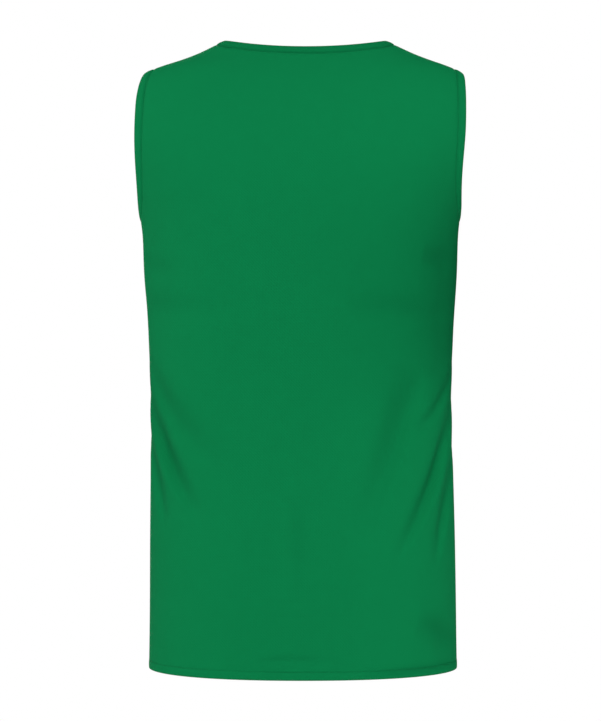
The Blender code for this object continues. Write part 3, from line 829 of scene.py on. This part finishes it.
# strip folded in two and carried along a seam: a U section, outer leg, half a circle, inner leg
def makeBinding(name, node, edge, normals, material, narrowing):
    along = unit(np.roll(edge, -1, axis=0) - np.roll(edge, 1, axis=0))
    away = unit(np.cross(along, normals))
    width, half, tuck = bindingLook["width"], bindingLook["thickness"] / 2, bindingLook["tuck"]
    fold = width - half
    closeRows = np.linspace(-tuck, bindingLook["closeEnd"], bindingLook["outerRows"])
    openRows = np.linspace(bindingLook["openStart"], fold, bindingLook["outerRows"])
    outer = np.concatenate((closeRows, openRows))
    inner = np.linspace(fold, -tuck, bindingLook["innerRows"])[1:]
    turn = np.linspace(math.pi / 2, -math.pi / 2, bindingLook["foldRows"])[1:]
    reach = np.concatenate((outer, fold + half * np.cos(turn), inner))
    crown = bindingLook["crown"] * np.sin(math.pi * np.clip(outer / fold, 0.0, 1.0))
    lift = np.concatenate((half + crown, half * np.sin(turn), np.full(len(inner), -half)))
    # near the seam the outer leg dives under the panel's edge: dive / (1 + e^((reach - start) / softness)),
    # where the start moves to the seam itself on the shoulder and under the arm
    top = shoulderTop(edge)
    flush = top + underarmPoint(edge)
    start = bindingLook["diveStart"] * (1.0 - flush)
    dive = bindingLook["dive"] / (1.0 + np.exp((outer[:, None] - start) / bindingLook["diveSoftness"]))
    dive = np.concatenate((dive, np.zeros((len(reach) - len(dive), len(edge)))))
    height = lift[:, None] - dive - bindingLook["sink"] - bindingLook["endSink"] * flush
    beyond = reach[:, None] * (1.0 - narrowing * top)
    points = edge + away * beyond[..., None] + normals * height[..., None]
    section = runningTotal(np.hypot(np.diff(reach), np.diff(lift)))
    flat = places(lengthAlong(edge)[None, :], section[:, None])
    faces = gridFaces(points.shape[0], points.shape[1], closed=True)[:, ::-1]
    # painted shade in the strip's colour: darker beside the seam and along the fold's rim
    seamBand = bindingLook["seamShade"] * bell(np.maximum(reach, 0.0) / bindingLook["seamShadeWidth"])
    rimBand = bindingLook["rimShade"] * bell((reach - width) / bindingLook["rimShadeWidth"])
    dark = np.repeat(seamBand + rimBand, points.shape[1])
    strip = clothMesh(name, points.reshape(-1, 3), faces, flat.reshape(-1, 2), dark=dark)
    addWall(strip, bindingLook["wall"])
    dress(strip, material)
    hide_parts(node)
    return strip


# a ring of seam from its stretches on both panels: points and outward normals
def seamRing(stretches):
    rows = [(place[:, 0] * side, place[:, 1], facing) for place, side, facing in stretches]
    points = np.concatenate([bodyPoint(*row) for row in rows])
    return points, np.concatenate([surfaceNormal(*row) for row in rows])


# narrowing: how much of its width a strip loses on top of the shoulder
def armholeBinding(name, node, side, narrowing):
    turn = np.linspace(0.0, math.pi, bindingLook["steps"] // 2)
    behind, before = armholeEdge(turn, 1), armholeEdge(turn[-2:0:-1], -1)
    edge, normals = seamRing(((behind, side, 1), (before, side, -1)))
    return makeBinding(name, node, edge[::-side], normals[::-side], armholeMaterial, narrowing)


def neckBinding(name, node, narrowing):
    turn = np.linspace(0.0, math.pi / 2, bindingLook["steps"] // 4)
    edge, normals = seamRing((
        (neckEdge(turn[:0:-1], 1), -1, 1), (neckEdge(turn, 1), 1, 1),
        (neckEdge(turn[-2::-1], -1), 1, -1), (neckEdge(turn[1:-1], -1), -1, -1)))
    return makeBinding(name, node, edge, normals, neckMaterial, narrowing)


leftBinding = armholeBinding("left_armhole_band", "armhole_binding_left", 1, narrowing=-0.08)
rightBinding = armholeBinding("right_armhole_band", "armhole_binding_right", -1, narrowing=0.24)
neckBand = neckBinding("neck_band", "neck_binding", narrowing=0.10)
print("bindings made")

# seam allowances
seamLook = {
    "halfWidth": 0.0042,
    "inset": 0.00155,
    "wall": 0.0007,
    # painted shade: the allowance's colour is this much darker, for the shade inside the seam
    "shade": 0.3,
    "rows": 160,
    "columns": 5,
    "end": 0.0006,  # how far a strip stops short of the seam's ends
    "shoulderEnd": 0.0004,
}


# the allowance pressed flat inside a side or shoulder seam: a narrow strip on the line where the
# panels meet, pushed in by the same drape, so that no light comes through the seam. Its colour is
# painted darker all over, as painted shade inside the seam.
def makeSeamStrip(name, side, low, high):
    run = np.linspace(runAt(low), runAt(high), seamLook["rows"])[:, None]
    across = np.linspace(-1.0, 1.0, seamLook["columns"])[None, :] * seamLook["halfWidth"]
    line = bodyPoint(math.pi / 2 * side, run[:, 0], 1)
    line[:, 1] = 0.0
    normal = surfaceNormal(np.full(len(run), besideSide * side), run[:, 0], 1)
    normal[:, 1] = 0.0
    line -= unit(normal) * (drape(line)[0] + seamLook["inset"])[:, None]
    points = np.repeat(line[:, None, :], seamLook["columns"], axis=1)
    points[..., 1] += across
    faces = gridFaces(seamLook["rows"], seamLook["columns"])[:, ::side]
    # painted shade over the whole strip
    dark = np.full(points[..., 0].size, seamLook["shade"])
    strip = clothMesh(name, points.reshape(-1, 3), faces, places(across, run).reshape(-1, 2), dark=dark)
    addWall(strip, seamLook["wall"], offset=0.0)
    dress(strip, knitMaterial)
    return strip


sideEnds = (seamLook["end"], form["underarm"] - seamLook["end"])
shoulderEnds = (form["shoulderPoint"] + seamLook["shoulderEnd"], form["neckPoint"] - seamLook["end"])
seamStrips = [
    makeSeamStrip("left_side_seam", 1, *sideEnds),
    makeSeamStrip("right_side_seam", -1, *sideEnds),
    makeSeamStrip("left_shoulder_seam", 1, *shoulderEnds),
    makeSeamStrip("right_shoulder_seam", -1, *shoulderEnds),
]
print("seams closed")

# stitches of the hem
stitchLook = {
    "length": 0.0022,
    "gap": 0.0008,
    "radius": 0.00022,
    "bow": 0.00022,  # how far its middle stands out
    "tip": 0.15,  # the share of its radius left at either end
    "sunk": 0.75,  # the share of the hem's ditch that it lies down in
    "margin": 0.001,  # from the side seam to the first and last one
    "rings": 5,
    "sides": 6,
    "colour": (0.0031, 0.176, 0.0551),
    "fibres": 2500.0,  # about how many of them there are to a metre
    "tones": (0.75, 1.15),  # the darkest and palest of them, as shares of the colour
}


# a row of short threads: a six-sided spindle repeated at even lengths along the hem's ditch
def makeHemStitches(name, facing):
    rings, sides, margin = stitchLook["rings"], stitchLook["sides"], stitchLook["margin"]
    angles = np.linspace(-math.pi / 2, math.pi / 2, 1200)
    run = np.full_like(angles, runAt(panelLook["hemDepth"]))
    line = bodyPoint(angles, run, facing)
    line -= levelOutward(angles, run, facing) * (panelLook["hemDitch"] * stitchLook["sunk"])
    line[:, 1] += facing * form["seamGap"] / 2.0
    length = lengthAlong(line)
    pitch = stitchLook["length"] + stitchLook["gap"]
    count = int((length[-1] - 2.0 * margin) / pitch)
    start = margin + np.arange(count) * pitch
    steps = np.linspace(0.0, 1.0, rings)
    where = start[:, None] + steps * stitchLook["length"]
    centre = np.stack([np.interp(where, length, line[:, i]) for i in range(3)], axis=-1)
    up = np.array((0.0, 0.0, 1.0))
    out = np.cross(unit(centre[:, -1] - centre[:, 0]), up)
    out *= np.where((out * centre[:, 0] * (1, 1, 0)).sum(axis=-1, keepdims=True) < 0, -1, 1)
    swell, tip = np.sin(math.pi * steps), stitchLook["tip"]
    radius = stitchLook["radius"] * (tip + (1.0 - tip) * swell ** 0.5)
    bow = stitchLook["bow"] * swell
    turn = fullTurn(sides)
    reachOut = bow[:, None] + radius[:, None] * np.cos(turn)
    reachUp = radius[:, None] * np.sin(turn)
    points = centre[:, :, None, :] + out[:, None, None, :] * reachOut[..., None] + up * reachUp[..., None]
    points = points.reshape(-1, 3)
    starts = np.arange(count) * (rings * sides)
    faces = (gridFaces(rings, sides, closed=True)[None] + starts[:, None, None]).reshape(-1, 4)
    row = clothMesh(name, points, faces, np.zeros((len(points), 2)), holeSides=sides)
    dress(row, threadMaterial)
    return row


# thread material: fibres of two tones, mixed by a fine noise
def makeThreadMaterial(name, look):
    nodes = [
        ("shader", "BsdfPrincipled", {"Roughness": 0.6, "Specular IOR Level": 0.05}),
        ("place", "TexCoord", {}),
        ("twist", "TexNoise", {"Scale": look["fibres"], "Detail": 1.0}),
        ("tone", "ValToRGB", {}),
    ]
    links = [
        ("place", "Object", "twist", "Vector"), ("twist", "Fac", "tone", "Fac"),
        ("tone", "Color", "shader", "Base Color"), ("shader", 0, "output", "Surface"),
    ]
    material, made = nodeMaterial(name, nodes, links)
    ends = made["tone"].color_ramp.elements
    for end, position, share in zip(ends, (0.3, 0.7), look["tones"]):
        end.position = position
        end.color = tuple(share * value for value in look["colour"]) + (1.0,)
    return material


threadMaterial = makeThreadMaterial("greenThread", stitchLook)
backStitches = makeHemStitches("back_hem_stitches", 1)
frontStitches = makeHemStitches("front_hem_stitches", -1)
print("hem stitched")

# camera, lights, world and floor
studio = {
    "cameraDistance": 2.80,
    "cameraHeight": -0.3423,
    "viewHeight": 0.8111,  # what the frame takes in at the origin, in metres
    "floor": -1.40,
    "floorReach": 4.0,
    "floorSides": 96,
    "floorColour": (0.85, 0.85, 0.85, 1.0),
    "ambient": 0.03,
    "floorGlow": 0.18,
    "floorPaleness": 0.55,  # added for the camera alone, so that it lights nothing
    # name, kind, place, aim, size or radius, power, cone in degrees, blend
    "lights": (
        ("back", "AREA", (0.0, 3.2, 0.1), (0.0, 0.0, -0.34), 2.0, 53.0, 0.0, 0.0),
        ("above", "AREA", (0.0, 1.9, 2.2), (0.0, 0.0, -0.34), 0.9, 27.0, 0.0, 0.0),
        ("top", "AREA", (0.0, 0.7, 2.6), (0.0, 0.0, -0.20), 1.0, 18.0, 0.0, 0.0),
        ("left", "AREA", (2.2, -0.2, 0.2), (0.0, 0.0, -0.34), 1.4, 23.0, 0.0, 0.0),
        ("front", "AREA", (0.3, -3.1, 0.3), (0.0, 0.0, -0.34), 2.0, 66.0, 0.0, 0.0),
        ("rightShoulder", "SPOT", (-1.5, 0.25, 0.00), (-0.15, 0.03, -0.01), 0.06, 20.0, 15.5, 0.35),
        ("rightHip", "SPOT", (-1.5, 0.25, -0.58), (-0.15, 0.03, -0.57), 0.06, 22.0, 19.5, 0.5),
    ),
}


def makeCamera():
    data = bpy.data.cameras.new("camera")
    data.sensor_fit = "VERTICAL"
    data.sensor_height = 24.0
    data.lens = data.sensor_height * studio["cameraDistance"] / studio["viewHeight"]
    camera = bpy.data.objects.new("camera", data)
    camera.location = (0.0, studio["cameraDistance"], studio["cameraHeight"])
    camera.rotation_euler = (math.pi / 2, 0.0, math.pi)
    bpy.context.scene.collection.objects.link(camera)
    bpy.context.scene.camera = camera


def makeLight(label, kind, place, aim, size, power, cone, blend):
    light = bpy.data.lights.new(label, kind)
    light.energy = power
    if kind == "AREA":
        light.size = size
    else:
        light.shadow_soft_size = size
        light.spot_size = math.radians(cone)
        light.spot_blend = blend
    lamp = bpy.data.objects.new(label, light)
    lamp.location = place
    lamp.rotation_euler = (Vector(aim) - Vector(place)).to_track_quat("-Z", "Y").to_euler()
    bpy.context.scene.collection.objects.link(lamp)


# white behind the top, and only a little light from all round
def makeWorld():
    world = bpy.data.worlds.new("studio")
    world.use_nodes = True
    world.node_tree.nodes.clear()
    nodes = [
        ("output", "OutputWorld", {}),
        ("seen", "Background", {"Color": (1, 1, 1, 1), "Strength": 1.0}),
        ("light", "Background", {"Color": (1, 1, 1, 1), "Strength": studio["ambient"]}),
        ("path", "LightPath", {}),
        ("pick", "MixShader", {}),
    ]
    links = [
        ("path", "Is Camera Ray", "pick", 0), ("light", 0, "pick", 1), ("seen", 0, "pick", 2),
        ("pick", 0, "output", "Surface"),
    ]
    buildNodes(world.node_tree, nodes, links)
    bpy.context.scene.world = world


# pale disc, as far below as a wearer's feet, that glows a little and is clear from underneath
def makeFloor():
    nodes = [
        ("shader", "BsdfPrincipled", {
            "Base Color": studio["floorColour"], "Roughness": 0.7, "Emission Color": (1.0, 1.0, 1.0, 1.0)}),
        ("path", "LightPath", {}),
        mathNode("glow", "MULTIPLY_ADD", studio["floorPaleness"], studio["floorGlow"]),
        ("face", "NewGeometry", {}),
        ("clear", "BsdfTransparent", {}),
        ("pick", "MixShader", {}),
    ]
    links = [
        ("path", "Is Camera Ray", "glow", 0), ("glow", 0, "shader", "Emission Strength"),
        ("face", "Backfacing", "pick", 0), ("shader", 0, "pick", 1), ("clear", 0, "pick", 2),
        ("pick", 0, "output", "Surface"),
    ]
    turn = fullTurn(studio["floorSides"])
    rim = np.stack([np.cos(turn), np.sin(turn), np.zeros_like(turn)], axis=-1) * studio["floorReach"]
    mesh = bpy.data.meshes.new("floor")
    mesh.from_pydata((rim + (0.0, 0.0, studio["floor"])).tolist(), [], [tuple(range(len(rim)))])
    mesh.materials.append(nodeMaterial("paleFloor", nodes, links)[0])
    floor = bpy.data.objects.new("floor", mesh)
    bpy.context.scene.collection.objects.link(floor)


bpy.context.scene.view_settings.view_transform = "Standard"
makeCamera()
for row in studio["lights"]:
    makeLight(*row)
makeWorld()
makeFloor()
print("studio set")

bpy.context.view_layer.update()
